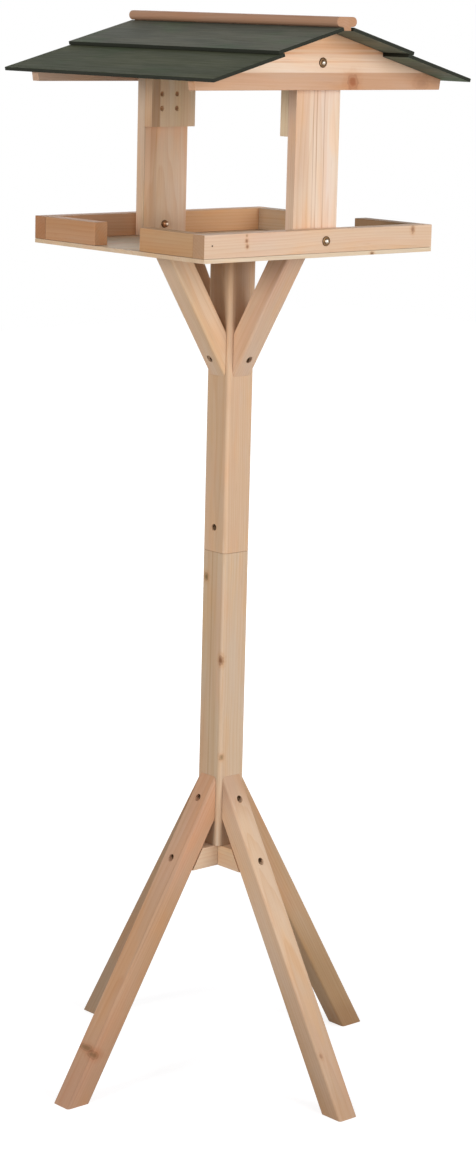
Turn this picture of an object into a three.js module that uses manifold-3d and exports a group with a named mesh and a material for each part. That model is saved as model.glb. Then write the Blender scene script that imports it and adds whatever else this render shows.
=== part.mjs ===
// A wooden bird table: four splayed legs, a square post in two lengths, a braced tray with low
// rails, and a boarded roof on two gabled uprights.
// Millimetres, +Z up. The origin is on the ground under the middle of the post, the gable with the
// visible bolt faces -Y and the ridge runs along Y.

import * as THREE from 'three';
import { mergeVertices } from 'three/addons/utils/BufferGeometryUtils.js';
import Module from 'manifold-3d';

const wasm = await Module();
wasm.setup();

const degrees = Math.PI / 180;

// Fits
const clearance = 0.3;
const overrun = 30;

// Post, in two equal lengths on a hidden dowel
const postSide = 38;
const postEdgeRadius = 4.5;
const postSectionLength = 343.5;
const postFootHeight = 271;
const dowelDiameter = 16;
const dowelLength = 80;

// Legs and braces, from one batten
const battenSide = 27;
const battenEdgeRadius = 3;
const legReach = 230;
const legOverlap = 82.5;
const braceReach = 108;
const braceDrop = 143;

// Halved cross bars under the post
const crossBarHeight = 24;

// Tray
const trayWidth = 336;
const trayDepth = 286;
const floorThickness = 4.5;
const railHeight = 25;
const railThickness = 18;
const railGap = 76;

// End frames: upright, gable and the block behind them
const uprightWidth = 64;
const uprightThickness = 12.5;
const uprightOffset = 6;
const gableRise = 173;
const gableWidth = 361;
const gableThickness = 11;
const gableEndHeight = 11.2;
const gableUndercut = 2;
const blockThickness = 12;
const blockDrop = 50;

// Roof
const roofSlope = 15.1 * degrees;
const gableOverhang = 38.5;
const boardThickness = 4;
const lowerBoardWidth = 101;
const boardLap = 8.5;
const eaveOverhang = 8;

// Ridge cap, a tee section with half-round edges
const capInset = 3;
const capSeat = 3;
const capHeight = 10.5;
const tongueWidth = 12.4;

// Countersunk screws
const screwHeadRadius = 3.6;
const screwHeadDepth = 2.6;
const screwShankRadius = 1.75;
const screwPointLength = 5;
const screwSink = 1.6;
const battenScrewSink = 4;
const legUpperScrewLength = 25;
const legLowerScrewLength = 50;
const legUpperScrewDrop = 25.5;
const legLowerScrewDrop = 8;
const braceScrewLength = 20;
const braceScrewRise = 20;
const jointScrewLength = 28;
const jointScrewInset = 12;
const trayScrewLength = 36;
const trayScrewSpacing = 16;
const blockScrewLength = 20;
const blockScrewShare = 0.78;
const blockScrewColumnSpacing = 22;
const blockScrewRowSpacing = 16;
const blockScrewOffset = 6;
const blockScrewRise = 28.5;

// Domed bolts and their domed nuts
const boltHeadRadius = 5.5;
const boltHeadHeight = 2.8;
const boltShankRadius = 2.5;
const boltThreadLength = 4;
const nutRadius = 4.5;
const nutSkirt = 2.4;
const nutDomeHeight = 3.2;
const gableBoltRise = 29;

// Roundness of the turned and rounded shapes
const edgeSegments = 3;
const turnedSegments = 16;
const domeSegments = 5;

// Colours
const palePine = 0xe3c3a3;
const warmPine = 0xcfa582;
const darkPine = 0xb98f72;
const roofGreen = 0x565a51;
const material = (color, roughness, metalness) =>
  new THREE.MeshStandardMaterial({ color, roughness, metalness });
const woodMaterial = (colour) => material(colour, 0.75, 0);
const zincMaterial = () => material(0xb9b7b0, 0.3, 0.9);
const screwMaterial = () => material(0x6a5a42, 0.45, 0.8);

// Heights of the stack from the ground to the tray
const postHalf = postSide / 2;
const battenHalf = battenSide / 2;
const jointHeight = postFootHeight + postSectionLength;
const upperPostFoot = jointHeight + clearance;
const postTop = upperPostFoot + postSectionLength;
const floorBottom = postTop + clearance;
const floorTop = floorBottom + floorThickness;
const railBottom = floorTop + clearance;
const railMiddle = railBottom + railHeight / 2;

// Faces of the end frames, as distances out from the middle along Y
const railInnerFace = trayDepth / 2 - railThickness;
const uprightOuterFace = railInnerFace - clearance;
const uprightInnerFace = uprightOuterFace - uprightThickness;
const gableInnerFace = uprightOuterFace + clearance;
const gableOuterFace = gableInnerFace + gableThickness;
const blockOuterFace = uprightInnerFace - clearance;

// The roof line: heights of the boards' undersides at a distance out from the ridge
const gableHalf = gableWidth / 2;
const gableBottom = floorTop + gableRise;
const boardDrop = boardThickness / Math.cos(roofSlope);
const boardLean = boardThickness * Math.sin(roofSlope);
const gapDrop = clearance / Math.cos(roofSlope);
const lowerUnderside = (x) =>
  gableBottom + gableEndHeight + gapDrop + (gableHalf - x) * Math.tan(roofSlope);
const upperUnderside = (x) => lowerUnderside(x) + boardDrop + gapDrop;

// Ends of the boards, measured out from the ridge along the top of each board
const roofLength = 2 * (gableOuterFace + gableOverhang);
const eaveEdge = gableHalf + eaveOverhang;
const lowerBoardHead = eaveEdge - lowerBoardWidth * Math.cos(roofSlope);
const upperBoardFoot = lowerBoardHead + boardLap * Math.cos(roofSlope);
const upperBoardHead = tongueWidth / 2 + clearance + boardLean;
const ridgeGapHalf = tongueWidth / 2 + clearance;
const capBottom = upperUnderside(upperBoardHead) + boardDrop + clearance;
const uprightTop = upperUnderside(uprightWidth / 2 + uprightOffset) - gapDrop;
const blockBottom = gableBottom - blockDrop;

const birdTable = new THREE.Group();

// A named mesh added to its group and returned for placing.
function piece(parent, name, geometry, finish) {
  const mesh = new THREE.Mesh(geometry, finish);
  mesh.name = name;
  parent.add(mesh);
  return mesh;
}

// A mesh that only cuts or keeps, standing where another mesh or group stands.
function tool(parent, geometry) {
  const mesh = new THREE.Mesh(geometry);
  mesh.userData.host = parent;
  return mesh;
}

// The mesh in the table's own frame, as a solid.
function toSolid(mesh) {
  mesh.updateMatrix();
  const host = mesh.parent ?? mesh.userData.host;
  host.updateWorldMatrix(true, false);
  const toTable = host.matrixWorld.clone().multiply(mesh.matrix);
  const geometry = mesh.geometry.clone().applyMatrix4(toTable);
  geometry.deleteAttribute('normal');
  geometry.deleteAttribute('uv');
  const merged = mergeVertices(geometry);
  const triangles = [];
  for (let i = 0; i < merged.index.count; i += 3) {
    const [a, b, c] = [0, 1, 2].map((k) => merged.index.getX(i + k));
    if (a !== b && b !== c && c !== a) triangles.push(a, b, c);
  }
  const mould = new wasm.Mesh({
    numProp: 3,
    vertProperties: new Float32Array(merged.attributes.position.array),
    triVerts: new Uint32Array(triangles),
  });
  return new wasm.Manifold(mould);
}

// Trims a mesh to what lies inside the keeper, then takes the cutters away from it.
function carve(mesh, cutters, keeper) {
  let solid = toSolid(mesh);
  if (keeper) solid = solid.intersect(toSolid(keeper));
  for (const cutter of cutters) solid = solid.subtract(toSolid(cutter));
  const { vertProperties, triVerts } = solid.getMesh();
  const geometry = new THREE.BufferGeometry();
  geometry.setAttribute('position', new THREE.BufferAttribute(new Float32Array(vertProperties), 3));
  geometry.setIndex(new THREE.BufferAttribute(new Uint32Array(triVerts), 1));
  mesh.updateWorldMatrix(true, false);
  geometry.applyMatrix4(mesh.matrixWorld.clone().invert());
  mesh.geometry = geometry.toNonIndexed();
  mesh.geometry.computeVertexNormals();
}

// Square section with rounded edges, centred on the origin.
function roundedSquare(side, radius) {
  const half = side / 2;
  const inner = half - radius;
  const shape = new THREE.Shape();
  shape.moveTo(inner, -half);
  shape.absarc(inner, -inner, radius, -Math.PI / 2, 0);
  shape.absarc(inner, inner, radius, 0, Math.PI / 2);
  shape.absarc(-inner, inner, radius, Math.PI / 2, Math.PI);
  shape.absarc(-inner, -inner, radius, Math.PI, 3 * Math.PI / 2);
  return shape;
}

function extrude(shape, depth) {
  return new THREE.ExtrudeGeometry(shape, { depth, curveSegments: edgeSegments, bevelEnabled: false });
}

// An outline drawn in X and Z, given a thickness along Y and centred there.
function extrudeUpright(points, thickness) {
  const shape = new THREE.Shape(points.map(([x, z]) => new THREE.Vector2(x, z)));
  const geometry = extrude(shape, thickness);
  geometry.rotateX(Math.PI / 2);
  geometry.translate(0, thickness / 2, 0);
  return geometry;
}

// Turned shapes stand on their axis with the head up, the head's top face at zero.
function turned(points) {
  const profile = points.map(([radius, height]) => new THREE.Vector2(radius, height));
  return new THREE.LatheGeometry(profile, turnedSegments);
}

// Screws of a lighter gauge are a share as thick as the others.
function screwGeometry(length, share) {
  return turned([
    [0, -length],
    [share * screwShankRadius, screwPointLength - length],
    [share * screwShankRadius, -share * screwHeadDepth],
    [share * screwHeadRadius, 0],
    [0, 0],
  ]);
}

function screwHoleGeometry(length, share) {
  const shank = share * screwShankRadius + clearance;
  const head = share * screwHeadRadius + clearance;
  return turned([
    [0, -length - clearance],
    [shank, screwPointLength - length - clearance],
    [shank, -share * screwHeadDepth - clearance],
    [head, -clearance],
    [head, overrun],
    [0, overrun],
  ]);
}

// Dome from its rim up to its crown, as profile points.
function dome(radius, foot, height) {
  const points = [];
  for (let i = 0; i <= domeSegments; i += 1) {
    const angle = i / domeSegments * Math.PI / 2;
    points.push([radius * Math.cos(angle), foot + height * Math.sin(angle)]);
  }
  points[domeSegments][0] = 0;
  return points;
}

function boltGeometry(grip) {
  return turned([
    [0, -grip - boltThreadLength],
    [boltShankRadius, -grip - boltThreadLength],
    [boltShankRadius, clearance],
    ...dome(boltHeadRadius, clearance, boltHeadHeight),
  ]);
}

function boltHoleGeometry(grip) {
  const radius = boltShankRadius + clearance;
  return turned([[0, -grip - overrun], [radius, -grip - overrun], [radius, overrun], [0, overrun]]);
}

function nutGeometry() {
  const bore = boltShankRadius + clearance;
  return turned([
    [0, boltThreadLength + clearance],
    [bore, boltThreadLength + clearance],
    [bore, clearance],
    [nutRadius, clearance],
    [nutRadius, nutSkirt],
    ...dome(nutRadius, nutSkirt, nutDomeHeight).slice(1),
  ]);
}

// Points a turned shape's head along a direction and sets it in place.
function aim(mesh, position, outward) {
  mesh.position.copy(position);
  mesh.quaternion.setFromUnitVectors(new THREE.Vector3(0, 1, 0), outward);
  return mesh;
}

// A screw sunk below a surface point, and the hole that it and its head need.
function screw(parent, name, length, surface, outward, { sink = screwSink, share = 1 } = {}) {
  const seat = surface.clone().addScaledVector(outward, -sink);
  aim(piece(parent, name, screwGeometry(length, share), screwMaterial()), seat, outward);
  return aim(tool(parent, screwHoleGeometry(length, share)), seat, outward);
}

// Post sections on their dowel
const post = new THREE.Group();
birdTable.add(post);
const postShape = roundedSquare(postSide, postEdgeRadius);
const lowerPost = piece(post, 'post_lower', extrude(postShape, postSectionLength), woodMaterial(warmPine));
lowerPost.position.z = postFootHeight;
const upperPost = piece(post, 'post_upper', extrude(postShape, postSectionLength), woodMaterial(warmPine));
upperPost.position.z = upperPostFoot;

const dowelMiddle = jointHeight + clearance / 2;
const dowelRadius = dowelDiameter / 2;
const dowelGeometry = new THREE.CylinderGeometry(dowelRadius, dowelRadius, dowelLength, turnedSegments);
const dowel = piece(post, 'post_dowel', dowelGeometry, woodMaterial(palePine));
dowel.rotation.x = Math.PI / 2;
dowel.position.z = dowelMiddle;
const boreRadius = dowelRadius + clearance;
const boreLength = dowelLength + 2 * clearance;
const dowelBore = tool(post, new THREE.CylinderGeometry(boreRadius, boreRadius, boreLength, turnedSegments));
dowelBore.rotation.x = Math.PI / 2;
dowelBore.position.z = dowelMiddle;

const leftward = new THREE.Vector3(-1, 0, 0);
const jointScrewPlace = new THREE.Vector3(-postHalf, 0, dowelMiddle + dowelLength / 2 - jointScrewInset);
const jointHole = screw(post, 'post_joint_screw', jointScrewLength, jointScrewPlace, leftward);

// One leg and one brace on each face of the post, each group built as the front one
const sides = { front: 0, right: Math.PI / 2, rear: Math.PI, left: -Math.PI / 2 };
const legTop = postFootHeight + legOverlap;
const legLean = Math.atan2(legReach - postHalf, legTop);
const braceLean = Math.atan2(braceReach - postHalf, braceDrop);
const legSoleDepth = battenSide / Math.cos(legLean);
const braceDepth = battenSide / Math.cos(braceLean);
const braceFoot = postTop - braceDrop;
const frontward = new THREE.Vector3(0, -1, 0);
const rearward = new THREE.Vector3(0, 1, 0);
const deep = { sink: battenScrewSink };
const legFace = (z) => new THREE.Vector3(0, -legReach + z * Math.tan(legLean), z);
const braceFace = (z) => new THREE.Vector3(0, -postHalf - (z - braceFoot) * Math.tan(braceLean), z);
const upperPostHoles = [dowelBore, jointHole];
const lowerPostHoles = [dowelBore];
const crossBarHoles = [];

// A batten long enough to rise by a height at a lean, with an overrun to cut off at each end.
function leaningBatten(group, name, rise, lean, colour) {
  const length = rise / Math.cos(lean) + 2 * overrun;
  const batten = piece(
    group, name, extrude(roundedSquare(battenSide, battenEdgeRadius), length), woodMaterial(colour));
  batten.geometry.translate(0, 0, -overrun);
  return batten;
}

// What lies outside the post's front face between two heights.
function reachBox(parent, bottom, top) {
  const depth = legReach + overrun;
  const box = tool(parent, new THREE.BoxGeometry(postSide, depth, top - bottom));
  box.position.set(0, -postHalf - clearance - depth / 2, (top + bottom) / 2);
  return box;
}

for (const [side, turn] of Object.entries(sides)) {
  const group = new THREE.Group();
  group.rotation.z = turn;
  birdTable.add(group);

  const leg = leaningBatten(group, `leg_${side}`, legTop, legLean, warmPine);
  leg.rotation.x = -legLean;
  leg.position.y = -legReach + legSoleDepth / 2;
  const legUpperHole = screw(group, `leg_upper_screw_${side}`, legUpperScrewLength,
    legFace(legTop - legUpperScrewDrop), frontward, deep);
  const legLowerHole = screw(group, `leg_lower_screw_${side}`, legLowerScrewLength,
    legFace(postFootHeight - legLowerScrewDrop), frontward, deep);
  carve(leg, [legUpperHole, legLowerHole], reachBox(group, 0, legTop + overrun));
  lowerPostHoles.push(legUpperHole);
  crossBarHoles.push(legLowerHole);

  const brace = leaningBatten(group, `brace_${side}`, braceDrop, braceLean, palePine);
  brace.rotation.x = braceLean;
  brace.position.set(0, -postHalf + braceDepth / 2, braceFoot);
  const braceHole = screw(group, `brace_screw_${side}`, braceScrewLength,
    braceFace(braceFoot + braceScrewRise), frontward, deep);
  carve(brace, [braceHole], reachBox(group, braceFoot - overrun, postTop));
  upperPostHoles.push(braceHole);
}

// Cross bars, halved into each other under the post, with their ends cut to the legs' inner faces
const crossBarTop = postFootHeight - clearance;
const crossBarBottom = crossBarTop - crossBarHeight;
const crossBarEnd = (z) =>
  legReach - legSoleDepth - z * Math.tan(legLean) - clearance / Math.cos(legLean);
const halvingHalfWidth = battenHalf + clearance;
const halvingDepth = crossBarHeight / 2 + clearance / 2;

function crossBar(name, turn, notchAtTop) {
  const topEnd = crossBarEnd(crossBarTop);
  const bottomEnd = crossBarEnd(crossBarBottom);
  const topEdge = [[topEnd, crossBarTop]];
  const bottomEdge = [[-bottomEnd, crossBarBottom]];
  if (notchAtTop) {
    const floor = crossBarTop - halvingDepth;
    topEdge.push([halvingHalfWidth, crossBarTop], [halvingHalfWidth, floor]);
    topEdge.push([-halvingHalfWidth, floor], [-halvingHalfWidth, crossBarTop]);
  } else {
    const roof = crossBarBottom + halvingDepth;
    bottomEdge.push([-halvingHalfWidth, crossBarBottom], [-halvingHalfWidth, roof]);
    bottomEdge.push([halvingHalfWidth, roof], [halvingHalfWidth, crossBarBottom]);
  }
  const outline = [...bottomEdge, [bottomEnd, crossBarBottom], ...topEdge, [-topEnd, crossBarTop]];
  const bar = piece(birdTable, name, extrudeUpright(outline, battenSide), woodMaterial(palePine));
  bar.rotation.z = turn;
  carve(bar, crossBarHoles);
}

crossBar('cross_bar_side_to_side', 0, true);
crossBar('cross_bar_front_to_back', Math.PI / 2, false);

// Tray floor, screwed down into the post, with the rails on it
const floorGeometry = new THREE.BoxGeometry(trayWidth, trayDepth, floorThickness);
const trayFloor = piece(birdTable, 'tray_floor', floorGeometry, woodMaterial(palePine));
trayFloor.position.z = floorBottom + floorThickness / 2;
const upward = new THREE.Vector3(0, 0, 1);
const trayHoles = [];
for (const [side, across] of [['left', -1], ['right', 1]]) {
  const place = new THREE.Vector3(across * trayScrewSpacing / 2, 0, floorTop);
  trayHoles.push(screw(birdTable, `tray_screw_${side}`, trayScrewLength, place, upward));
}
carve(trayFloor, trayHoles);
carve(upperPost, [...upperPostHoles, ...trayHoles]);
carve(lowerPost, lowerPostHoles);
carve(dowel, [jointHole]);

const sideRailLength = railInnerFace - clearance - railGap / 2;
const sideRailMiddle = (railInnerFace - clearance + railGap / 2) / 2;
for (const [side, across] of [['left', -1], ['right', 1]]) {
  for (const [end, along] of [['front', -1], ['rear', 1]]) {
    const geometry = new THREE.BoxGeometry(railThickness, sideRailLength, railHeight);
    const rail = piece(birdTable, `tray_rail_${side}_${end}`, geometry, woodMaterial(warmPine));
    rail.position.set(across * (trayWidth - railThickness) / 2, along * sideRailMiddle, railMiddle);
  }
}

// Gable outline, stepped under the lap of the two roof boards
const gableStep = lowerBoardHead - boardLean - clearance;
const gableRight = [
  [gableHalf - gableUndercut, gableBottom],
  [gableHalf, lowerUnderside(gableHalf) - gapDrop],
  [gableStep, lowerUnderside(gableStep) - gapDrop],
  [gableStep, upperUnderside(gableStep) - gapDrop],
  [ridgeGapHalf, upperUnderside(ridgeGapHalf) - gapDrop],
];
const gableLeft = gableRight.map(([x, z]) => [-x, z]).reverse();
const gableOutline = [...gableRight, ...gableLeft];

// End frames, the rear one the front one turned round
function bolt(group, kind, end, x, z, headFace, nutFace) {
  const grip = headFace - nutFace;
  const shank = piece(group, `${kind}_bolt_${end}`, boltGeometry(grip), zincMaterial());
  aim(shank, new THREE.Vector3(x, -headFace, z), frontward);
  const nut = piece(group, `${kind}_nut_${end}`, nutGeometry(), zincMaterial());
  aim(nut, new THREE.Vector3(x, -nutFace, z), rearward);
  return aim(tool(group, boltHoleGeometry(grip)), new THREE.Vector3(x, -headFace, z), frontward);
}

// Screws of the rear block, as seen from the front, with their sides of the pattern's middle
const blockScrews = [
  ['block_screw_top_left', 1, 1],
  ['block_screw_top_right', -1, 1],
  ['block_screw_bottom_left', 1, -1],
  ['block_screw_bottom_right', -1, -1],
];

for (const [end, turn] of [['front', 0], ['rear', Math.PI]]) {
  const group = new THREE.Group();
  group.rotation.z = turn;
  birdTable.add(group);

  const gable = piece(
    group, `gable_${end}`, extrudeUpright(gableOutline, gableThickness), woodMaterial(palePine));
  gable.position.y = -gableInnerFace - gableThickness / 2;

  const uprightHeight = uprightTop - railBottom;
  const uprightGeometry = new THREE.BoxGeometry(uprightWidth, uprightThickness, uprightHeight);
  const upright = piece(group, `upright_${end}`, uprightGeometry, woodMaterial(palePine));
  const uprightMiddle = (uprightOuterFace + uprightInnerFace) / 2;
  upright.position.set(uprightOffset, -uprightMiddle, (railBottom + uprightTop) / 2);

  const blockHeight = uprightTop - blockBottom;
  const blockGeometry = new THREE.BoxGeometry(uprightWidth, blockThickness, blockHeight);
  const block = piece(group, `gable_block_${end}`, blockGeometry, woodMaterial(darkPine));
  block.position.set(uprightOffset, -blockOuterFace + blockThickness / 2, (blockBottom + uprightTop) / 2);

  const railGeometry = new THREE.BoxGeometry(trayWidth, railThickness, railHeight);
  const rail = piece(group, `tray_rail_${end}`, railGeometry, woodMaterial(palePine));
  rail.position.set(0, -railInnerFace - railThickness / 2, railMiddle);

  const gableBoltHeight = gableBottom + gableBoltRise;
  const gableHole = bolt(
    group, 'gable', end, 0, gableBoltHeight, gableOuterFace, blockOuterFace - blockThickness);
  const railHole = bolt(group, 'rail', end, uprightOffset, railMiddle, trayDepth / 2, uprightInnerFace);

  const blockHoles = [];
  for (const [name, across, along] of end === 'rear' ? blockScrews : []) {
    const x = uprightOffset + blockScrewOffset + across * blockScrewColumnSpacing / 2;
    const z = blockBottom + blockScrewRise + along * blockScrewRowSpacing / 2;
    const place = new THREE.Vector3(x, -blockOuterFace + blockThickness, z);
    blockHoles.push(screw(group, name, blockScrewLength, place, rearward, { share: blockScrewShare }));
  }
  carve(gable, [gableHole]);
  carve(upright, [gableHole, railHole, ...blockHoles]);
  carve(block, [gableHole, ...blockHoles]);
  carve(rail, [railHole]);
}

// Roof boards, lower lapped by upper, the left pair the right pair turned round
function roofBoard(group, name, head, foot, underside) {
  const width = (foot - head) / Math.cos(roofSlope);
  const geometry = new THREE.BoxGeometry(width, roofLength, boardThickness);
  geometry.translate(0, 0, -boardThickness / 2);
  const board = piece(group, name, geometry, woodMaterial(roofGreen));
  const middle = (head + foot) / 2;
  board.rotation.y = roofSlope;
  board.position.set(middle, 0, underside(middle) + boardDrop);
}

for (const [side, turn] of [['right', 0], ['left', Math.PI]]) {
  const group = new THREE.Group();
  group.rotation.z = turn;
  birdTable.add(group);
  roofBoard(group, `roof_board_${side}_lower`, lowerBoardHead, eaveEdge, lowerUnderside);
  roofBoard(group, `roof_board_${side}_upper`, upperBoardHead, upperBoardFoot, upperUnderside);
}

// Ridge cap, its tongue down between the upper boards
const capShape = new THREE.Shape();
const capLength = roofLength - 2 * capInset;
const capRadius = capHeight / 2;
const tongueHalf = tongueWidth / 2;
const capStraight = tongueHalf + capSeat;
capShape.moveTo(-tongueHalf, 0);
capShape.lineTo(-tongueHalf, -boardThickness);
capShape.lineTo(tongueHalf, -boardThickness);
capShape.lineTo(tongueHalf, 0);
capShape.lineTo(capStraight, 0);
capShape.absarc(capStraight, capRadius, capRadius, -Math.PI / 2, Math.PI / 2);
capShape.absarc(-capStraight, capRadius, capRadius, Math.PI / 2, 3 * Math.PI / 2);
const capGeometry = new THREE.ExtrudeGeometry(
  capShape, { depth: capLength, curveSegments: 2 * edgeSegments, bevelEnabled: false });
const cap = piece(birdTable, 'ridge_cap', capGeometry, woodMaterial(darkPine));
cap.rotation.x = Math.PI / 2;
cap.position.set(0, capLength / 2, capBottom);

export default birdTable;
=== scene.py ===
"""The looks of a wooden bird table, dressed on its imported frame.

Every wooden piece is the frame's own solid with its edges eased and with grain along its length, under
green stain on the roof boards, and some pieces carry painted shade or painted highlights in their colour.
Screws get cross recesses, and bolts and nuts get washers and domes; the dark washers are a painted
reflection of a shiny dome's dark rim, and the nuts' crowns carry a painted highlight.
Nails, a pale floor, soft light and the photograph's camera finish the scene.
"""

import math

import bmesh
import bpy
from mathutils import Matrix, Quaternion, Vector


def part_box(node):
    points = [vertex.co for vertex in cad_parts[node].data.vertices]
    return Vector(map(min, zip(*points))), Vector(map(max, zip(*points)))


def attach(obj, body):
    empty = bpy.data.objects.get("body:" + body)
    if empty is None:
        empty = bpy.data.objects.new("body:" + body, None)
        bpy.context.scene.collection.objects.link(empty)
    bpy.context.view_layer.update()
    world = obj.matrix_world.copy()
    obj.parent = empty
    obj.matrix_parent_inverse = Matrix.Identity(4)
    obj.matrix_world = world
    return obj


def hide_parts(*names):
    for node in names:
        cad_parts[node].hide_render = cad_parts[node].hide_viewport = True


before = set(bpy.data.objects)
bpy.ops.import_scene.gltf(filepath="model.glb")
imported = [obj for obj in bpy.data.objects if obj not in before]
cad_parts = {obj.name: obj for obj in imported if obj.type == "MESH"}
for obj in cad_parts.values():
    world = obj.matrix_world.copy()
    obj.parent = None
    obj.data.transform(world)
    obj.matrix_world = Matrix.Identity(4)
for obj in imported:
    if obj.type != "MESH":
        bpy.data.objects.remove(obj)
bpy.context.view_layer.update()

mm = 0.001
BODY = "root"

# Camera, in the position and frame of the photograph
CAMERA_PLACE = Vector((-2120.8, -2374.7, 1232.3)) * mm
CAMERA_TARGET = Vector((10.81, -9.74, 578.77)) * mm
CAMERA_ROLL = math.radians(1.439)
CAMERA_LENS = 88.26
CAMERA_SENSOR = 36

# Lamps: name, place and size in metres, and power in watts. All of them point at one place in the post
LAMP_TARGET = (0, 0, 0.8)
LAMPS = [
    ("right_softbox", (0.5, -3.15, 1.4), 2.3, 70),
    ("left_softbox", (-3.2, -0.3, 1.5), 1.0, 48),
    ("rear_softbox", (1.6, 3.0, 1.5), 2.3, 22),
]

# Surround and floor. The floor glows less near the table, which keeps its shadow
WHITE = (1, 1, 1, 1)
WORLD_LEVEL = 0.3
FLOOR_REACH = 6
FLOOR_CELLS = 8
FLOOR_DROP = 0.2 * mm
FLOOR_GRIT = 40
FLOOR_TONES = (0.49, 0.49, 0.50, 1), (0.51, 0.51, 0.52, 1)
FLOOR_BOUNCE = (0.4, 0.4, 0.4, 1)
GLOW_NEAR = 0.5
GLOW_FAR = 1.6
GLOW_LEVEL = 0.74

# Eased edges
WELD = 0.01 * mm
FLAT_ANGLE = math.radians(1)
EASED_ANGLE = math.radians(38)
EASED_PROFILE = 0.6
EASED_STEPS = 2
EASE_BATTEN = 0.5 * mm
EASE_BOARD = 0.7 * mm
EASE_ROOF = 0.5 * mm

# Rings. Each stop is a place in a ring, and how dark the wood is there
RING_STOPS = [(0.0, 0.0), (0.45, 0.12), (0.82, 0.75), (0.93, 1.0), (1.0, 0.0)]
RING_UNEVEN = 2.2
PITH_WANDER = 14 * mm
PINE_RING = 3.2 * mm
ROOF_RING = 4.4 * mm

# Grain. Above these cosines, a piece counts as upright and a board's face as square on
SEED_STEP = 1.37
END_GRAIN_POWER = 6
ROOF_TILT = 0.02
NEARLY_UPRIGHT = 0.9
SQUARE_ON = 0.9

# Knots. A reach says where a change starts and where it is full, in the knot's radii
KNOT_LUMPS = 1.1
KNOT_UNEVEN = 0.9
HALO_REACH = (2.6, 0.9)
HALO_SHARE = 0.6
HALO_TINT = (0.88, 0.70, 0.54)
HEART_REACH = (1.2, 0.3)
RIM_REACH = (0.25, 0.02)
RIM_SHARE = 0.4
RIM_TINT = (0.50, 0.32, 0.22)
BOSS_REACH = (1.3, 0.6)
BOSS_HEIGHT = 0.5

# Streaks, in millimetres. Their sides are soft, and they are faint in places
STREAK_WANDER = 3
STREAK_SOFT = 2
STREAK_SOFT_SHARE = 0.8
STREAK_FAINTEST = 0.35

# Pine: its tints, its gloss, and how much smoother late wood and rougher end grain are
LATE_WOOD = (0.90, 0.79, 0.68)
DARK_FIBRE = (0.86, 0.76, 0.66)
DULL_BAND = (0.91, 0.88, 0.80)
BLUSH = (1.03, 0.86, 0.80)
WARM_CAST = (1.05, 0.97, 0.86)
COOL_CAST = (0.98, 1.02, 1.09)
RESIN = (0.70, 0.52, 0.38)
PINE_GLOSS = 0.3
LATE_SMOOTHER = 0.12
END_ROUGHER = 0.15

# Green stain: the tones of its underside, paler partly from thinner stain and partly as painted bounce
# light, and of its edges, painted dark as shade; its tints, its gloss, and how strong its rings are
STAIN_UNDER = (114, 120, 106)
STAIN_EDGE_PAINTED_SHADE = (46, 48, 40)
STAINED_RING = (0.66, 0.68, 0.62)
STAINED_FIBRE = (0.66, 0.68, 0.64)
WORN_PATCH = (1.34, 1.29, 1.26)
MOSS = (0.76, 1.0, 0.78)
THIN_STAIN_AND_PAINTED_BOUNCE = (1.08, 0.82, 0.66)
STAIN_GLOSS = 0.12
STAIN_FIGURE = 0.4

# Metal: the cells of its noises in a metre, and how much rougher its scuffs are
CLOUD_CELLS = 420
SCUFF_CELLS = 2600
SCUFF_ROUGHER = 0.18

# Fasteners. A share is of the fastener's widest radius, unless its comment says otherwise
END_DEPTH = 0.05 * mm  # a point this near to an end counts as on it
SCREW_SIDES = 32
SCREW_SHANK_SHARE = 0.48
SCREW_POINT_SHARE = 0.8  # of the length
SCREW_CONE_SHARE = 0.72
SCREW_RIM_SHARE = 0.08
RECESS_ARM_SHARE = 0.62
RECESS_SLOT_SHARE = 0.17
RECESS_TAPER = 0.7
RECESS_DEPTH = 1.6 * mm
BOLT_SIDES = 40
BOLT_HEAD_SHARE = 0.5
BOLT_CROWN_SHARE = 0.46
BOLT_SHANK_SHARE = 0.45
BOLT_WASHER_TOP_SHARE = 0.9
NUT_SHARE = 0.82
NUT_WASHER_TOP_SHARE = 0.95
NUT_SOCKET_SHARE = 0.75  # of the nut's height
NUT_RIM_SHARE = 0.4  # of the nut's height
WASHER_SHARE = 0.16
DOME_STEPS = 7
# How tightly the nuts' painted highlight keeps to the crown of the dome
CROWN_POWER = 16
NAIL_RADIUS = 1.1 * mm
NAIL_SHANK_SHARE = 0.5
NAIL_TOP_SHARE = 0.9
NAIL_CROWN_SHARE = 0.1  # of how deep its rim is sunk
NAIL_SINK = 0.25 * mm
NAIL_LENGTH = 12 * mm
NAIL_SIDES = 12
NAIL_INWARD = 2 * mm
NAIL_RISE = 1 * mm


# Materials are written as small node trees

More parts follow.
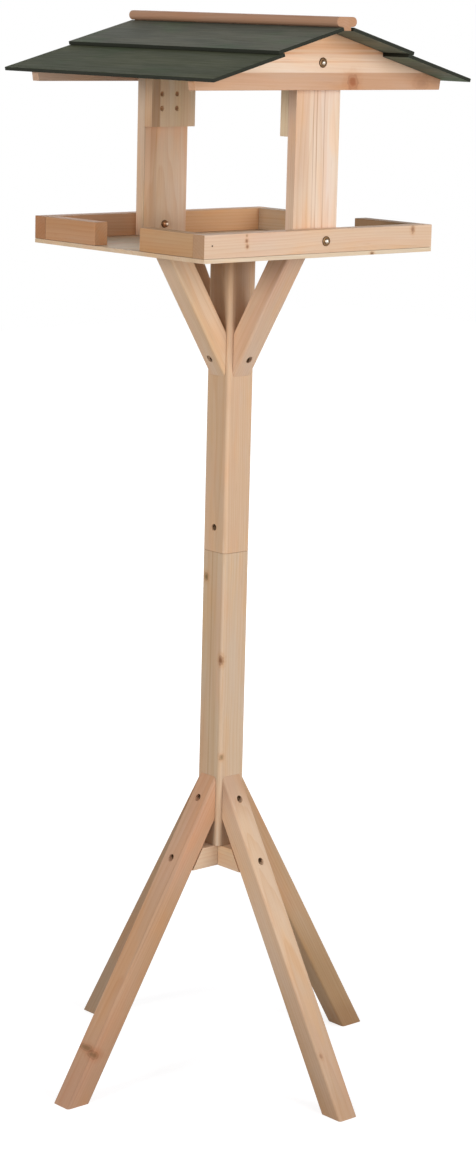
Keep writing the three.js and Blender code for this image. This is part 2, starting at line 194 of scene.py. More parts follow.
class Tree:
    """The node tree of a material or world, with short calls for the nodes that the finishes use."""

    def __init__(self, owner):
        owner.use_nodes = True
        self.owner = owner
        self.nodes = owner.node_tree.nodes
        self.links = owner.node_tree.links
        self.shader = self.nodes.get("Principled BSDF")

    def put(self, socket, value):
        if isinstance(value, bpy.types.NodeSocket):
            self.links.new(value, socket)
        else:
            socket.default_value = value

    def set(self, **values):
        """Sets the shader's inputs, with underscores for the spaces in their names."""
        for name, value in values.items():
            self.put(self.shader.inputs[name.replace("_", " ")], value)

    def node(self, kind, inputs, **settings):
        made = self.nodes.new("ShaderNode" + kind)
        for key, setting in settings.items():
            setattr(made, key, setting)
        for key, value in inputs.items():
            self.put(made.inputs[key], value)
        return made

    def attribute(self, name, output="Vector"):
        return self.node("Attribute", {}, attribute_name=name).outputs[output]

    def place(self):
        """Where a point of the surface is in the frame, in metres."""
        return self.node("TexCoord", {}).outputs["Object"]

    def math(self, operation, a, b=0.0, c=0.0, clamp=False):
        return self.node("Math", {0: a, 1: b, 2: c}, operation=operation, use_clamp=clamp).outputs[0]

    def vector(self, operation, a, b=(0, 0, 0), output="Vector"):
        return self.node("VectorMath", {0: a, 1: b}, operation=operation).outputs[output]

    def scaled(self, a, factor):
        return self.node("VectorMath", {0: a, "Scale": factor}, operation="SCALE").outputs["Vector"]

    def noise(self, vector, detail=2.0, roughness=0.5, output="Fac"):
        inputs = {"Vector": vector, "Scale": 1.0, "Detail": detail, "Roughness": roughness}
        return self.node("TexNoise", inputs).outputs[output]

    def figure(self, grain, along, across, detail=2.0, roughness=0.5, output="Fac"):
        """Noise with so many cells in a metre along the grain, and so many across it."""
        cells = self.vector("MULTIPLY", grain, (along, across, across))
        return self.noise(cells, detail, roughness, output)

    def smooth(self, value, low, high, start=0.0, end=1.0):
        """A smooth change from start to end while the value goes from low to high."""
        inputs = {"Value": value, "From Min": low, "From Max": high, "To Min": start, "To Max": end}
        return self.node("MapRange", inputs, interpolation_type="SMOOTHSTEP").outputs["Result"]

    def ramp(self, factor, stops):
        made = self.node("ValToRGB", {"Fac": factor})
        elements = made.color_ramp.elements
        while len(elements) < len(stops):
            elements.new(0.5)
        for element, (position, level) in zip(elements, stops):
            element.position = position
            element.color = (level, level, level, 1)
        return made.outputs["Color"]

    def mix(self, factor, a, b, blend="MIX"):
        return self.node("Mix", {0: factor, 6: a, 7: b}, data_type="RGBA", blend_type=blend).outputs[2]

    def tint(self, colour, tint, amount):
        """The colour multiplied by a tint, as far as the amount goes from 0 to 1."""
        return self.mix(amount, colour, (*tint, 1), "MULTIPLY")

    def bump(self, height, strength, distance):
        inputs = {"Height": height, "Strength": strength, "Distance": distance}
        self.set(Normal=self.node("Bump", inputs).outputs["Normal"])

    def seen(self):
        """1 for a ray from the camera, off a shiny surface or through a clear one, and else 0."""
        path = self.node("LightPath", {}).outputs
        shown = self.math("MAXIMUM", path["Is Camera Ray"], path["Is Glossy Ray"])
        return self.math("MAXIMUM", shown, path["Is Transmission Ray"])


def material_tree(name):
    return Tree(bpy.data.materials.new(name))


def rgb(red, green, blue):
    """A colour from its picture values, as the linear colour that a shader takes."""
    linear = [((v / 255 + 0.055) / 1.055) ** 2.4 for v in (red, green, blue)]
    return (*linear, 1)


def rings(tree, grain, spacing):
    """Growth rings round a pith that runs along X of the grain, 1 in the dark late wood."""
    drift = tree.figure(grain, along=3, across=14, output="Color")
    drift = tree.scaled(tree.vector("SUBTRACT", drift, (0.5, 0.5, 0.5)), PITH_WANDER)
    around = tree.vector("MULTIPLY", tree.vector("ADD", grain, drift), (0, 1, 1))
    distance = tree.vector("LENGTH", around, output="Value")
    uneven = tree.math("MULTIPLY", tree.figure(grain, along=0.5, across=60, detail=1.0), RING_UNEVEN)
    turns = tree.math("MULTIPLY_ADD", distance, 1 / spacing, uneven)
    return tree.ramp(tree.math("FRACT", turns), RING_STOPS)


def relief(tree, ring, fibres, sunk, raised):
    """How high a sawn or planed surface stands, with its late wood sunk and its fibres raised."""
    return tree.math("MULTIPLY_ADD", ring, -sunk, tree.math("MULTIPLY", fibres, raised))


def knot_distance(tree, axis, centre, radius, drawn_out):
    """How far a point lies from a knot, in its radii, with the knot drawn out along the grain."""
    apart = tree.vector("SUBTRACT", tree.place(), tuple(Vector(centre) * mm))
    along = tree.vector("DOT_PRODUCT", apart, axis, output="Value")
    pulled = tree.scaled(axis, tree.math("MULTIPLY", along, 1 / drawn_out - 1))
    apart = tree.vector("ADD", apart, pulled)
    distance = tree.math("DIVIDE", tree.vector("LENGTH", apart, output="Value"), radius * mm)
    lumps = tree.noise(tree.scaled(tree.place(), KNOT_LUMPS / (radius * mm)))
    uneven = tree.math("MULTIPLY_ADD", lumps, KNOT_UNEVEN, 1 - KNOT_UNEVEN / 2)
    return tree.math("MULTIPLY", distance, uneven)


def add_knot(tree, colour, distance, dark, heart):
    """A dark heart in a warm halo, with a thin rim between the two."""
    colour = tree.tint(colour, HALO_TINT, tree.smooth(distance, *HALO_REACH, end=HALO_SHARE * dark))
    colour = tree.tint(colour, heart, tree.smooth(distance, *HEART_REACH, end=dark))
    off_rim = tree.math("ABSOLUTE", tree.math("SUBTRACT", distance, 1.0))
    return tree.tint(colour, RIM_TINT, tree.smooth(off_rim, *RIM_REACH, end=RIM_SHARE * dark))


def add_streak(tree, colour, grain, across, place, reach, tint):
    """A line or band of another tone along the grain, through one place across it. The table gives wood
    figure, and also painted shade and highlights.
    """
    offset = tree.vector("DOT_PRODUCT", tree.place(), across, output="Value")
    wander = tree.figure(grain, along=6, across=4, detail=1.0)
    centre = tree.math("MULTIPLY_ADD", wander, STREAK_WANDER * mm, (place - STREAK_WANDER / 2) * mm)
    apart = tree.math("ABSOLUTE", tree.math("SUBTRACT", offset, centre))
    soft = min(STREAK_SOFT_SHARE * reach, STREAK_SOFT)
    near = tree.smooth(apart, reach * mm, (reach - soft) * mm)
    patches = tree.figure(grain, along=8, across=30, detail=1.0)
    strength = tree.math("MULTIPLY", near, tree.smooth(patches, low=0.3, high=0.6, start=STREAK_FAINTEST))
    return tree.tint(colour, tint, strength)


def add_fade(tree, colour, along, start, end, tint):
    """A change of tone from one place along a way to another, and on from there. The table gives changes
    of the wood's tone, and also painted shade and light.
    """
    offset = tree.vector("DOT_PRODUCT", tree.place(), along, output="Value")
    return tree.tint(colour, tint, tree.smooth(offset, start * mm, end * mm))


def pine(node, tone):
    """Planed pine of one tone, with what the tables below give for the node."""
    tree = material_tree(f"pine_{node}")
    axis = tuple(grain_axis(node))
    grain = tree.attribute("grain")
    end = tree.attribute("end_grain", "Fac")

    # Rings, fibres, slow changes of tone and thin resin dashes
    ring = tree.math("MULTIPLY", rings(tree, grain, PINE_RING), FIGURE.get(node, USUAL_FIGURE))
    fibres = tree.figure(grain, along=9, across=700, detail=3.0, roughness=0.6)
    bands = tree.figure(grain, along=1.6, across=26, detail=3.0)
    blush = tree.figure(grain, along=6, across=34)
    cast = tree.figure(grain, along=11, across=52)
    dashes = tree.figure(grain, along=38, across=1400, detail=1.0)
    colour = tree.tint(rgb(*tone), LATE_WOOD, ring)
    colour = tree.tint(colour, DARK_FIBRE, tree.smooth(fibres, low=0.35, high=0.75, end=0.3))
    colour = tree.tint(colour, DULL_BAND, tree.smooth(bands, low=0.42, high=0.66, end=0.8))
    colour = tree.tint(colour, BLUSH, tree.smooth(blush, low=0.48, high=0.70, end=0.4))
    colour = tree.tint(colour, WARM_CAST, tree.smooth(cast, low=0.52, high=0.68, end=0.7))
    colour = tree.tint(colour, COOL_CAST, tree.smooth(cast, low=0.48, high=0.32, end=0.7))
    colour = tree.tint(colour, RESIN, tree.smooth(dashes, low=0.70, high=0.80, end=0.35))

    for fade in FADES.get(node, ()):
        colour = add_fade(tree, colour, *fade)
    for streak in STREAKS.get(node, ()):
        colour = add_streak(tree, colour, grain, *streak)
    height = relief(tree, ring, fibres, sunk=0.5, raised=0.6)
    for centre, radius, drawn_out, dark, heart in KNOTS.get(node, ()):
        distance = knot_distance(tree, axis, centre, radius, drawn_out)
        colour = add_knot(tree, colour, distance, dark, heart)
        height = tree.math("ADD", height, tree.smooth(distance, *BOSS_REACH, end=BOSS_HEIGHT))

    # End grain has a tint of its own, and is duller
    colour = tree.tint(colour, ENDS.get(node, USUAL_END), end)
    rough = tree.smooth(fibres, low=0.3, high=0.8, start=0.56, end=0.72)
    rough = tree.math("MULTIPLY_ADD", ring, -LATE_SMOOTHER, rough)
    rough = tree.math("MULTIPLY_ADD", end, END_ROUGHER, rough, clamp=True)
    tree.set(Base_Color=colour, Roughness=rough, Specular_IOR_Level=PINE_GLOSS)
    tree.bump(height, strength=0.35, distance=0.25 * mm)
    return tree.owner


def stained_board(name, top):
    """A thin sawn board under dark green stain with paler worn patches, its edge faces painted dark as
    shade, and its underside paler and browner, partly from thinner stain and partly as painted bounce
    light.
    """
    tree = material_tree(name)
    grain = tree.attribute("grain")
    edge = tree.attribute("board_edge", "Fac")
    under = tree.attribute("board_under", "Fac")
    ring = rings(tree, grain, ROOF_RING)
    fibres = tree.figure(grain, along=14, across=420, detail=4.0, roughness=0.65)
    patches = tree.figure(grain, along=7, across=26, detail=4.0, roughness=0.6)
    moss = tree.figure(grain, along=11, across=19, detail=3.0)
    # The underside is paler and browner, partly from thinner stain and partly as painted bounce light from
    # the wood below
    thin = tree.math("MULTIPLY", under, tree.smooth(moss, low=0.52, high=0.36, end=0.3))
    colour = tree.mix(under, rgb(*top), rgb(*STAIN_UNDER))
    colour = tree.tint(colour, STAINED_RING, tree.math("MULTIPLY", ring, STAIN_FIGURE))
    colour = tree.tint(colour, STAINED_FIBRE, tree.smooth(fibres, low=0.35, high=0.70, end=0.45))
    colour = tree.tint(colour, WORN_PATCH, tree.smooth(patches, low=0.44, high=0.64))
    colour = tree.tint(colour, MOSS, tree.smooth(moss, low=0.50, high=0.66, end=0.6))
    colour = tree.tint(colour, THIN_STAIN_AND_PAINTED_BOUNCE, thin)
    # The edge faces are painted dark: painted shade
    colour = tree.mix(edge, colour, rgb(*STAIN_EDGE_PAINTED_SHADE))
    rough = tree.smooth(fibres, low=0.3, high=0.8, start=0.68, end=0.85)
    tree.set(Base_Color=colour, Roughness=rough, Specular_IOR_Level=STAIN_GLOSS)
    tree.bump(relief(tree, ring, fibres, sunk=0.3, raised=0.9), strength=0.45, distance=0.3 * mm)
    return tree.owner


def metal(name, tone, worn, rough, crown=None):
    """Plated steel, cloudy and finely worn, and, where a crown tone is given, a painted highlight in that
    tone at a dome's crown.
    """
    tree = material_tree(name)
    cloud = tree.noise(tree.scaled(tree.place(), CLOUD_CELLS), detail=3.0)
    scuff = tree.noise(tree.scaled(tree.place(), SCUFF_CELLS))
    colour = tree.mix(tree.smooth(cloud, low=0.4, high=0.7), rgb(*tone), rgb(*worn))
    # A painted highlight at the dome's crown
    if crown:
        colour = tree.mix(tree.attribute("crown", "Fac"), colour, rgb(*crown))
    roughness = tree.smooth(scuff, low=0.3, high=0.7, start=rough, end=rough + SCUFF_ROUGHER)
    tree.set(Base_Color=colour, Metallic=1, Roughness=roughness)
    tree.bump(scuff, strength=0.15, distance=0.05 * mm)
    return tree.owner


# Pieces

def add_object(name, data):
    made = bpy.data.objects.new(name, data)
    bpy.context.scene.collection.objects.link(made)
    return made


def finished(shape, name):
    """The mesh of a shape, which is freed."""
    mesh = bpy.data.meshes.new(name)
    shape.to_mesh(mesh)
    shape.free()
    return mesh


def store_vectors(mesh, name, vectors):
    stored = mesh.attributes.new(name, "FLOAT_VECTOR", "POINT")
    stored.data.foreach_set("vector", [part for vector in vectors for part in vector])


def store_faces(mesh, name, level):
    """A number for each face, worked out from its normal."""
    stored = mesh.attributes.new(name, "FLOAT", "FACE")
    stored.data.foreach_set("value", [level(face.normal) for face in mesh.polygons])


def place_piece(name, mesh, material, node=None):
    """The finished piece in the scene, riding on the body and standing for its node if it has one."""
    mesh.materials.append(material)
    made = add_object(name, mesh)
    for face in mesh.polygons:
        face.use_smooth = True
    weighted = made.modifiers.new("flat_faces", "WEIGHTED_NORMAL")
    weighted.keep_sharp = True
    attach(made, BODY)
    if node:
        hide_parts(node)
    return made


# Wooden pieces

def grain_axis(node):
    """The way the grain runs: up a leg or brace along its lean, and else along the longest side."""
    low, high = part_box(node)
    size = high - low
    if not node.startswith(("leg_", "brace_")):
        longest = max(range(3), key=lambda i: size[i])
        return Vector([float(i == longest) for i in range(3)])
    middle = (low + high) / 2
    outward = Vector((middle.x, middle.y, 0)).normalized()
    reach = max(size.x, size.y) * (-1 if node.startswith("leg_") else 1)
    return (outward * reach + Vector((0, 0, size.z))).normalized()


def eased(node, ease):
    """The node's own solid with its sharp edges rounded over."""
    shape = bmesh.new()
    shape.from_mesh(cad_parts[node].data)
    bmesh.ops.remove_doubles(shape, verts=shape.verts, dist=WELD)
    bmesh.ops.dissolve_limit(shape, angle_limit=FLAT_ANGLE, verts=shape.verts, edges=shape.edges)
    sharp = [e for e in shape.edges if e.is_manifold and e.calc_face_angle() > EASED_ANGLE]
    bmesh.ops.bevel(shape, geom=sharp, offset=ease, segments=EASED_STEPS, profile=EASED_PROFILE,
                    affect="EDGES", clamp_overlap=True)
    return finished(shape, node)


def wooden(node, material, ease, pith, tilt):
    """A wooden piece that lies some way from its pith, with its grain tilted a little from its length."""
    mesh = eased(node, ease)
    axis = grain_axis(node)
    low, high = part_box(node)
    middle = (low + high) / 2
    level = Vector((0, 0, 1)) if abs(axis.z) < NEARLY_UPRIGHT else Vector((0, 1, 0))
    side = axis.cross(level).normalized()
    rise = side.cross(axis).normalized()
    seed = SEED_STEP * sum(map(ord, node))
    grains = []
    for vertex in mesh.vertices:
        apart = vertex.co - middle
        along = apart.dot(axis)
        sideways = apart.dot(side) + pith[0] * mm
        upward = apart.dot(rise) + pith[1] * mm + along * tilt
        grains.append((along + seed, sideways, upward))
    store_vectors(mesh, "grain", grains)
    store_faces(mesh, "end_grain", lambda normal: abs(normal.dot(axis)) ** END_GRAIN_POWER)
    return place_piece(f"{node}_timber", mesh, material, node)


# For each wooden piece: its tone, how far it lies from its pith in mm, both ways across the grain, and how
# much the grain tilts
TIMBER = {
    "post_upper": ((218, 185, 154), (34, 3), 0.005),
    "post_lower": ((215, 188, 160), (31, -5), 0.01),
    "brace_front": ((226, 194, 166), (32, -4), 0.02),
    "brace_left": ((228, 197, 167), (-32, 4), 0.02),
    "brace_right": ((216, 183, 152), (24, 20), 0.0),
    "brace_rear": ((208, 176, 146), (-20, -26), 0.0),
    "leg_front": ((223, 191, 160), (3, 30), 0.03),
    "leg_left": ((204, 164, 133), (-6, 32), 0.015),
    "leg_right": ((197, 163, 129), (24, -24), 0.0),
    "leg_rear": ((176, 146, 118), (-26, -20), 0.0),
    "cross_bar_side_to_side": ((224, 196, 168), (12, 30), 0.0),
    "cross_bar_front_to_back": ((230, 202, 172), (-14, 28), 0.0),
    "tray_floor": ((233, 213, 189), (10, 60), 0.02),
    "tray_rail_front": ((228, 197, 170), (24, 40), 0.01),
    "tray_rail_rear": ((234, 188, 147), (-22, 36), 0.01),
    "tray_rail_left_front": ((198, 157, 116), (30, 22), 0.02),
    "tray_rail_left_rear": ((195, 148, 110), (-28, 24), 0.02),
    "tray_rail_right_front": ((157, 129, 99), (26, -22), 0.02),
    "tray_rail_right_rear": ((190, 165, 138), (-24, -26), 0.02),
    "upright_front": ((238, 213, 191), (4, 70), 0.015),
    "upright_rear": ((252, 221, 193), (-8, 64), 0.02),
    "gable_block_front": ((242, 222, 196), (16, 34), 0.02),
    "gable_block_rear": ((252, 224, 191), (-14, 30), 0.02),
    "gable_front": ((250, 222, 197), (12, 44), 0.03),
    "gable_rear": ((214, 184, 165), (-10, 48), 0.03),
    "ridge_cap": ((187, 146, 120), (8, 30), 0.01),
    "post_dowel": ((226, 200, 168), (6, 12), 0.0),
}

# The tone of each row of roof boards, and how far they lie from their pith in mm
ROOF_ROWS = {
    "lower": ((67, 71, 53), (14, 42)),
    "upper": ((93, 95, 85), (-18, 50)),
}

# Each knot: its place and radius in mm, how far it is drawn out along the grain, how dark it is, and the
# tint of its heart
RED_HEART = (0.40, 0.28, 0.20)
ORANGE_HEART = (0.56, 0.28, 0.14)
GREY_HEART = (0.42, 0.42, 0.30)
KNOTS = {
    "gable_front": [
        ((45, -136, 1145), 7.5, 1.0, 0.75, ORANGE_HEART),
        ((150, -136, 1143), 8, 1.5, 0.3, RED_HEART),
    ],
    "tray_rail_front": [
        ((138, -143, 984), 4.0, 0.6, 0.8, RED_HEART),
        ((-109, -143, 986), 1.3, 1, 0.6, RED_HEART),
        ((-109, -143, 980.5), 1.9, 1, 0.9, RED_HEART),
        ((-108, -143, 974.5), 1.9, 1, 0.9, RED_HEART),
    ],
    "tray_floor": [((76, -143, 960), 1.8, 1.6, 1, RED_HEART)],
    "post_lower": [
        ((-19, 11, 584), 3.2, 1.4, 1, GREY_HEART),
        ((-18, -16, 491), 3.0, 1.8, 1, RED_HEART),
        ((-16, -19, 377), 2.6, 1.2, 0.8, GREY_HEART),
    ],
    "leg_left": [
        ((-192.5, 1, 61), 12, 0.28, 0.75, GREY_HEART),
        ((-193, -11.5, 56), 6.5, 0.7, 0.8, GREY_HEART),
    ],
    "leg_front": [((-9, -191, 65), 2.0, 1.5, 0.5, RED_HEART)],
}

# The ways on which streaks and fades have their places. POST_EDGE runs from the post's front left edge
# into it, LEG_OUTWARD out of the left leg's outer face, and LEG_EDGE out of that leg's front outer edge
LEG_AXIS = grain_axis("leg_left")
RIGHTWARD = Vector((1, 0, 0))
REARWARD = Vector((0, 1, 0))
UPWARD = Vector((0, 0, 1))
POST_EDGE = (RIGHTWARD + REARWARD).normalized()
LEG_OUTWARD = Vector((-LEG_AXIS.z, 0, LEG_AXIS.x))
LEG_EDGE = (LEG_OUTWARD - REARWARD).normalized()

# Each streak: the way across it, its place on that way and its half width in mm, and its tint. Those
# marked are painted shade or painted highlights
STREAKS = {
    "upright_front": [
        (RIGHTWARD, -20, 15, (0.92, 0.82, 0.76)),
        (RIGHTWARD, 0, 0.9, (0.70, 0.56, 0.46)),
        (RIGHTWARD, 5, 1.1, (0.72, 0.58, 0.48)),
        (RIGHTWARD, 16, 0.9, (0.74, 0.60, 0.50)),
        (RIGHTWARD, 30, 10, (1.04, 1.10, 1.16)),
    ],
    "upright_rear": [
        (RIGHTWARD, -24, 6, (0.88, 0.80, 0.74)),
        # Painted shade: the left side face darker than the front face
        (RIGHTWARD, -38, 2.4, (0.76, 0.80, 0.82)),
    ],
    # Painted highlight along the post's front left edge
    "post_upper": [(POST_EDGE, -25, 2, (1.08, 1.09, 1.10))],
    "post_lower": [
        (REARWARD, 1, 1.4, (0.86, 0.76, 0.68)),
        # Painted highlight along the post's front left edge
        (POST_EDGE, -25.5, 1.4, (1.05, 1.06, 1.07)),
    ],
    "gable_front": [
        (UPWARD, 1166, 1.6, (0.92, 0.80, 0.70)),
        (UPWARD, 1175, 2, (0.90, 0.70, 0.56)),
        (UPWARD, 1182, 4, (0.88, 0.66, 0.48)),
    ],
    "gable_block_rear": [(RIGHTWARD, -34, 9, (0.68, 0.57, 0.50))],
    # Painted shade on the left leg's front outer edge, dimming the highlight its rounded edge catches
    "leg_left": [(LEG_EDGE, 148.2, 1.6, (0.78, 0.78, 0.78))],
}

# Each fade: its way, the places on it in mm where it starts and ends, and its tint from there on. Those
# marked are painted shade or painted light
FADES = {
    "gable_front": [
        (UPWARD, 1155.2, 1153.7, (0.73, 0.59, 0.50)),
        (UPWARD, 1164, 1180, (0.87, 0.74, 0.62)),
        (RIGHTWARD, -60, 60, (0.92, 0.86, 0.81)),
    ],
    # Painted shade: darker towards the bottom, next to the tray
    "upright_rear": [(UPWARD, 1000, 975, (0.88, 0.86, 0.84))],
    # Painted shade: the rail darker towards its left end
    "tray_rail_rear": [(RIGHTWARD, 24, -38, (0.65, 0.60, 0.61))],
    # Painted shade: the post's top darker just under the tray
    "post_upper": [(UPWARD, 925, 955, (0.75, 0.66, 0.60))],
    # Painted shade: darker towards the top, under the tray
    "brace_front": [(UPWARD, 860, 940, (0.92, 0.88, 0.87))],
    "leg_left": [
        (UPWARD, 260, 200, (0.93, 0.91, 0.84)),
        # Painted shade: darker towards the floor
        (UPWARD, 110, 20, (0.90, 0.87, 0.92)),
        # Painted light: the outer face lighter
        (LEG_OUTWARD, 178, 197, (1.08, 1.08, 1.12)),
    ],
    # Painted shade: darker at the top, between the legs under the post
    "leg_rear": [(UPWARD, 270, 320, (0.88, 0.74, 0.56))],
    "leg_front": [
        # Painted shade: darker at the top where it meets the post, and darker towards the floor
        (UPWARD, 300, 345, (0.79, 0.74, 0.72)),
        (UPWARD, 220, 50, (0.80, 0.77, 0.76)),
        (UPWARD, 60, 5, (0.92, 0.87, 0.83)),
    ],
    "leg_right": [
        # Painted shade: darker towards the floor
        (UPWARD, 190, 70, (0.82, 0.80, 0.74)),
        (UPWARD, 50, 10, (0.86, 0.80, 0.76)),
    ],
}

# The end grain's tint, where it isn't the usual one
USUAL_END = (0.92, 0.86, 0.80)
ENDS = {
    "tray_rail_front": (0.64, 0.53, 0.42),
    "tray_rail_rear": (0.84, 0.72, 0.60),
    "tray_rail_left_rear": (0.98, 0.97, 0.96),
    "ridge_cap": (1.13, 1.10, 1.02),
}

# How strongly the rings show, and where they are fainter than usual
USUAL_FIGURE = 0.5
FIGURE = {"gable_front": 0.22, "gable_rear": 0.3}


def make_timber():
    for node, (tone, pith, tilt) in TIMBER.items():
        ease = EASE_BATTEN if node.startswith(("leg_", "brace_", "post_")) else EASE_BOARD
        wooden(node, pine(node, tone), ease, pith, tilt)


def make_roof():
    """Four thin stained boards, whose edge faces are painted dark as shade, and whose undersides are paler
    and browner, partly from thinner stain and partly as painted bounce light.
    """
    for side in ("left", "right"):
        for row, (top, pith) in ROOF_ROWS.items():
            material = stained_board(f"stain_{side}_{row}", top)
            mesh = wooden(f"roof_board_{side}_{row}", material, EASE_ROOF, pith, ROOF_TILT).data
            widest = max(mesh.polygons, key=lambda face: face.area * (face.normal.z > 0))
            outward = widest.normal.copy()
            store_faces(mesh, "board_edge", lambda normal: float(abs(normal.dot(outward)) < SQUARE_ON))
            store_faces(mesh, "board_under", lambda normal: float(normal.dot(outward) < -SQUARE_ON))


# Fasteners

def turned(profile, sides):
    """A closed shape of revolution about Z, from points of radius and height."""
    shape = bmesh.new()
    rows = []
    for radius, height in profile:
        count = sides if radius > 0 else 1
        rows.append([
            shape.verts.new((radius * math.cos(turn), radius * math.sin(turn), height))
            for turn in (2 * math.pi * i / sides for i in range(count))
        ])
    for below, above in zip(rows, rows[1:]):
        for i in range(sides):
            j = (i + 1) % sides
            lower = [below[k % len(below)] for k in (i, j)]
            upper = [above[k % len(above)] for k in (j, i)]
            shape.faces.new(list(dict.fromkeys(lower + upper)))
    bmesh.ops.remove_doubles(shape, verts=shape.verts, dist=WELD)
    bmesh.ops.recalc_face_normals(shape, faces=shape.faces)
    return shape


def cross_recess(shape, radius):
    """Cuts the flat top, at height 0, into a ring round a cross, and sinks the cross."""
    centre = next(v for v in shape.verts if abs(v.co.z) < WELD and v.co.xy.length < WELD)
    bmesh.ops.delete(shape, geom=[centre], context="VERTS")
    rim = [e for e in shape.edges if e.is_boundary]
    arm = radius * RECESS_ARM_SHARE
    slot = radius * RECESS_SLOT_SHARE
    corners = []
    for turn in range(4):
        spin = Matrix.Rotation(turn * math.pi / 2, 3, "Z")
        for x, y in ((arm, -slot), (arm, slot), (slot, slot)):
            corners.append(spin @ Vector((x, y, 0)))
    top = [shape.verts.new(c) for c in corners]
    floor = [shape.verts.new((c.x * RECESS_TAPER, c.y * RECESS_TAPER, -RECESS_DEPTH)) for c in corners]
    lip = []
    for i in range(len(corners)):
        j = (i + 1) % len(corners)
        shape.faces.new((top[i], top[j], floor[j], floor[i]))
        lip.append(shape.edges.get((top[i], top[j])))
    shape.faces.new(floor)
    bmesh.ops.triangle_fill(shape, edges=rim + lip, use_beauty=True)
    bmesh.ops.recalc_face_normals(shape, faces=shape.faces)


def stand(shape, name, place, outward, material, node=None):
    """Turns a shape's Z to point outward, sets it in place and makes it a piece."""
    turn = Vector((0, 0, 1)).rotation_difference(outward).to_matrix().to_4x4()
    bmesh.ops.transform(shape, matrix=Matrix.Translation(place) @ turn, verts=shape.verts)
    return place_piece(name, finished(shape, name), material, node)


def head_of(node):
    """The middle of a turned node's wide end, the way its axis points there, its radius and its length."""
    low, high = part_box(node)
    size = high - low
    axis = max(range(3), key=lambda i: size[i])
    points = [v.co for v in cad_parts[node].data.vertices]

    def width_at(end):
        near = [p for p in points if abs(p[axis] - end) < END_DEPTH]
        return max(max(p[i] for p in near) - min(p[i] for p in near) for i in range(3) if i != axis)

    sign = 1 if width_at(high[axis]) > width_at(low[axis]) else -1
    outward = Vector([float(sign) if i == axis else 0.0 for i in range(3)])
    place = (low + high) / 2
    place[axis] = high[axis] if sign > 0 else low[axis]
    across = [size[i] for i in range(3) if i != axis]
    return place, outward, max(across) / 2, size[axis]


def make_screws():
    """Countersunk screws with a cross recess; those down in the battens' deep holes get darker steel, as
    painted shade of their holes.
    """
    bright = metal("yellow_plated_steel", tone=(206, 166, 128), worn=(168, 130, 98), rough=0.6)
    # Painted shade: the steel of the screws deep in the battens' holes is darker
    hole_shaded_steel = metal("plated_steel_painted_hole_shade", tone=(92, 72, 52), worn=(60, 46, 34), rough=0.5)
    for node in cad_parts:
        if "screw" not in node:
            continue
        place, outward, radius, length = head_of(node)
        shank = SCREW_SHANK_SHARE * radius
        shape = turned([
            (0, -length),
            (shank, -SCREW_POINT_SHARE * length),
            (shank, -SCREW_CONE_SHARE * radius),
            (radius, -SCREW_RIM_SHARE * radius),
            (radius, 0),
            (0, 0),
        ], SCREW_SIDES)
        cross_recess(shape, radius)
        steel = bright if node.startswith(("block_", "tray_")) else hole_shaded_steel
        stand(shape, f"{node}_steel", place, outward, steel, node)


def dome(radius, foot, height):
    """The points of a quarter round from a rim at a foot up to its pole."""
    turns = [math.pi / 2 * i / DOME_STEPS for i in range(DOME_STEPS)]
    rounds = [(radius * math.cos(turn), foot + height * math.sin(turn)) for turn in turns]
    return [*rounds, (0, foot + height)]


def bolt_profiles(radius, reach):
    """A bolt's shank with its small domed head, and the dark washer under the head, a painted reflection
    of the dark rim that a shiny head shows, from the shank's end.
    """
    face = reach - BOLT_HEAD_SHARE * radius
    top = face + WASHER_SHARE * radius
    crown = BOLT_CROWN_SHARE * radius
    shank = BOLT_SHANK_SHARE * radius
    upper = BOLT_WASHER_TOP_SHARE * radius
    bolt = [(0, 0), (shank, 0), (shank, face), (crown, face), *dome(crown, top, reach - top)]
    washer = [(shank, face), (radius, face), (upper, top), (crown, top), (shank, face)]
    return bolt, washer


def nut_profiles(radius, reach):
    """A domed nut and the washer that it sits on, from the wood's face."""
    top = WASHER_SHARE * radius
    bore = BOLT_SHANK_SHARE * radius
    body = NUT_SHARE * radius
    upper = NUT_WASHER_TOP_SHARE * radius
    socket = NUT_SOCKET_SHARE * reach
    rim = NUT_RIM_SHARE * reach
    nut = [(0, socket), (bore, socket), (bore, top), (body, top), *dome(body, rim, reach - rim)]
    washer = [(bore, 0), (radius, 0), (upper, top), (bore, top), (bore, 0)]
    return nut, washer


def round_fastener(node, profiles, away, steel, washer_painted_dark):
    """A bolt or nut that lies along Y and its dark washer, a painted reflection of a shiny dome's dark
    rim, with the dome at the end that points away and a crown mask for a painted highlight.
    """
    low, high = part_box(node)
    place = Vector(((low.x + high.x) / 2, low.y if away > 0 else high.y, (low.z + high.z) / 2))
    outward = Vector((0, away, 0))
    body, washer = profiles((high.x - low.x) / 2, high.y - low.y)
    made = stand(turned(body, BOLT_SIDES), f"{node}_steel", place, outward, steel, node)
    # Mask of the dome's crown, where the nuts' material paints a highlight
    store_faces(made.data, "crown", lambda normal: max(0.0, away * normal.y) ** CROWN_POWER)
    stand(turned(washer, BOLT_SIDES), f"{node}_washer", place, outward, washer_painted_dark)


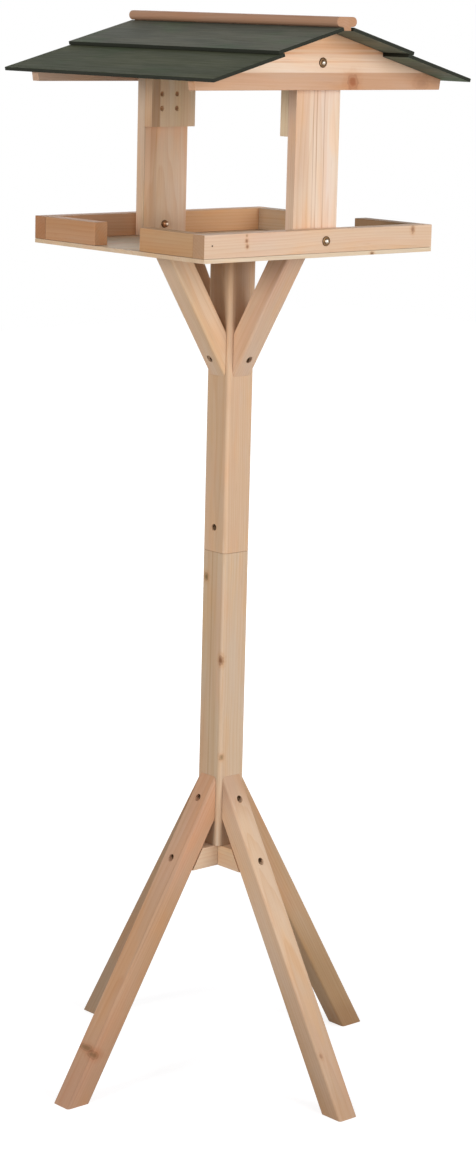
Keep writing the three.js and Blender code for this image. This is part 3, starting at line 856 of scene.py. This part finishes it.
def make_bolts():
    """Round-headed bolts, whose small bright domes sit in dark washers that are a painted reflection of a
    shiny dome's dark rim, and domed nuts inside with a painted highlight at the crown.
    """
    bright = metal("bright_zinc", tone=(202, 192, 178), worn=(158, 146, 130), rough=0.2)
    # Painted reflection: the washers' dark bronze stands in for the dark rim that a shiny dome reflects
    dark = metal("dark_bronze_painted_reflection", tone=(112, 86, 60), worn=(74, 56, 40), rough=0.3)
    # The nuts' bronze, with a painted highlight at each crown
    bronze = metal("bronze_painted_crown_highlight", tone=(184, 136, 100), worn=(140, 98, 70), rough=0.42,
                   crown=(244, 236, 220))
    for kind in ("gable", "rail"):
        for end, away in (("front", -1), ("rear", 1)):
            round_fastener(f"{kind}_bolt_{end}", bolt_profiles, away, bright, dark)
            round_fastener(f"{kind}_nut_{end}", nut_profiles, -away, bronze, dark)


def make_nails():
    """A small nail near the left end of each long rail, as seen from its own side."""
    steel = metal("dull_nail", tone=(86, 66, 48), worn=(54, 42, 32), rough=0.5)
    low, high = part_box("tray_rail_front")
    side_low, side_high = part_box("tray_rail_left_front")
    across = (side_low.x + side_high.x) / 2 + NAIL_INWARD
    height = (low.z + high.z) / 2 + NAIL_RISE
    shank = NAIL_SHANK_SHARE * NAIL_RADIUS
    for end, sign in (("front", 1), ("rear", -1)):
        shape = turned([
            (0, -NAIL_LENGTH),
            (shank, -NAIL_LENGTH),
            (shank, -NAIL_SINK),
            (NAIL_RADIUS, -NAIL_SINK),
            (NAIL_TOP_SHARE * NAIL_RADIUS, 0),
            (0, NAIL_CROWN_SHARE * NAIL_SINK),
        ], NAIL_SIDES)
        place = Vector((sign * across, sign * low.y, height))
        stand(shape, f"rail_nail_{end}", place, Vector((0, -sign, 0)), steel)


# Floor, light and camera

def make_floor():
    """A pale floor that stays white to the camera and keeps the table's soft shadow."""
    tree = material_tree("pale_floor")
    grit = tree.noise(tree.scaled(tree.place(), FLOOR_GRIT), detail=3.0)
    lit = tree.node("BsdfDiffuse", {"Color": tree.mix(grit, *FLOOR_TONES)})
    away = tree.vector("LENGTH", tree.place(), output="Value")
    level = tree.smooth(away, GLOW_NEAR, GLOW_FAR, start=GLOW_LEVEL)
    glow = tree.node("Emission", {"Color": WHITE, "Strength": level})
    shown = tree.node("AddShader", {0: lit.outputs[0], 1: glow.outputs[0]})
    plain = tree.node("BsdfDiffuse", {"Color": FLOOR_BOUNCE})
    both = tree.node("MixShader", {0: tree.seen(), 1: plain.outputs[0], 2: shown.outputs[0]})
    tree.nodes.remove(tree.shader)
    tree.put(tree.nodes["Material Output"].inputs["Surface"], both.outputs[0])
    shape = bmesh.new()
    bmesh.ops.create_grid(shape, x_segments=FLOOR_CELLS, y_segments=FLOOR_CELLS, size=FLOOR_REACH)
    mesh = finished(shape, "floor")
    mesh.materials.append(tree.owner)
    floor = add_object("floor", mesh)
    floor.location.z = -FLOOR_DROP


def make_world():
    """A surround that is plain white where it is seen, and lights the table evenly."""
    world = bpy.data.worlds.new("surround")
    bpy.context.scene.world = world
    tree = Tree(world)
    background = tree.nodes["Background"].inputs
    tree.put(background["Color"], WHITE)
    tree.put(background["Strength"], tree.smooth(tree.seen(), low=0.0, high=1.0, start=WORLD_LEVEL))


def aimed(place, target):
    """The turn of a lamp or camera that looks from its place at a target, held level."""
    return (Vector(target) - Vector(place)).to_track_quat("-Z", "Y")


def make_lamps():
    for name, place, size, power in LAMPS:
        lamp = bpy.data.lights.new(name, "AREA")
        lamp.shape = "DISK"
        lamp.size = size
        lamp.energy = power
        made = add_object(name, lamp)
        made.location = place
        made.rotation_euler = aimed(place, LAMP_TARGET).to_euler()


def make_camera():
    camera = bpy.data.cameras.new("camera")
    camera.sensor_fit = "VERTICAL"
    camera.sensor_width = CAMERA_SENSOR
    camera.sensor_height = CAMERA_SENSOR
    camera.lens = CAMERA_LENS
    made = add_object("camera", camera)
    turn = aimed(CAMERA_PLACE, CAMERA_TARGET) @ Quaternion((0, 0, 1), CAMERA_ROLL)
    made.matrix_world = Matrix.LocRotScale(CAMERA_PLACE, turn, None)
    bpy.context.scene.camera = made


make_camera()
make_timber()
make_roof()
make_screws()
make_bolts()
make_nails()
make_floor()
make_world()
make_lamps()

bpy.context.scene.view_settings.view_transform = "Standard"
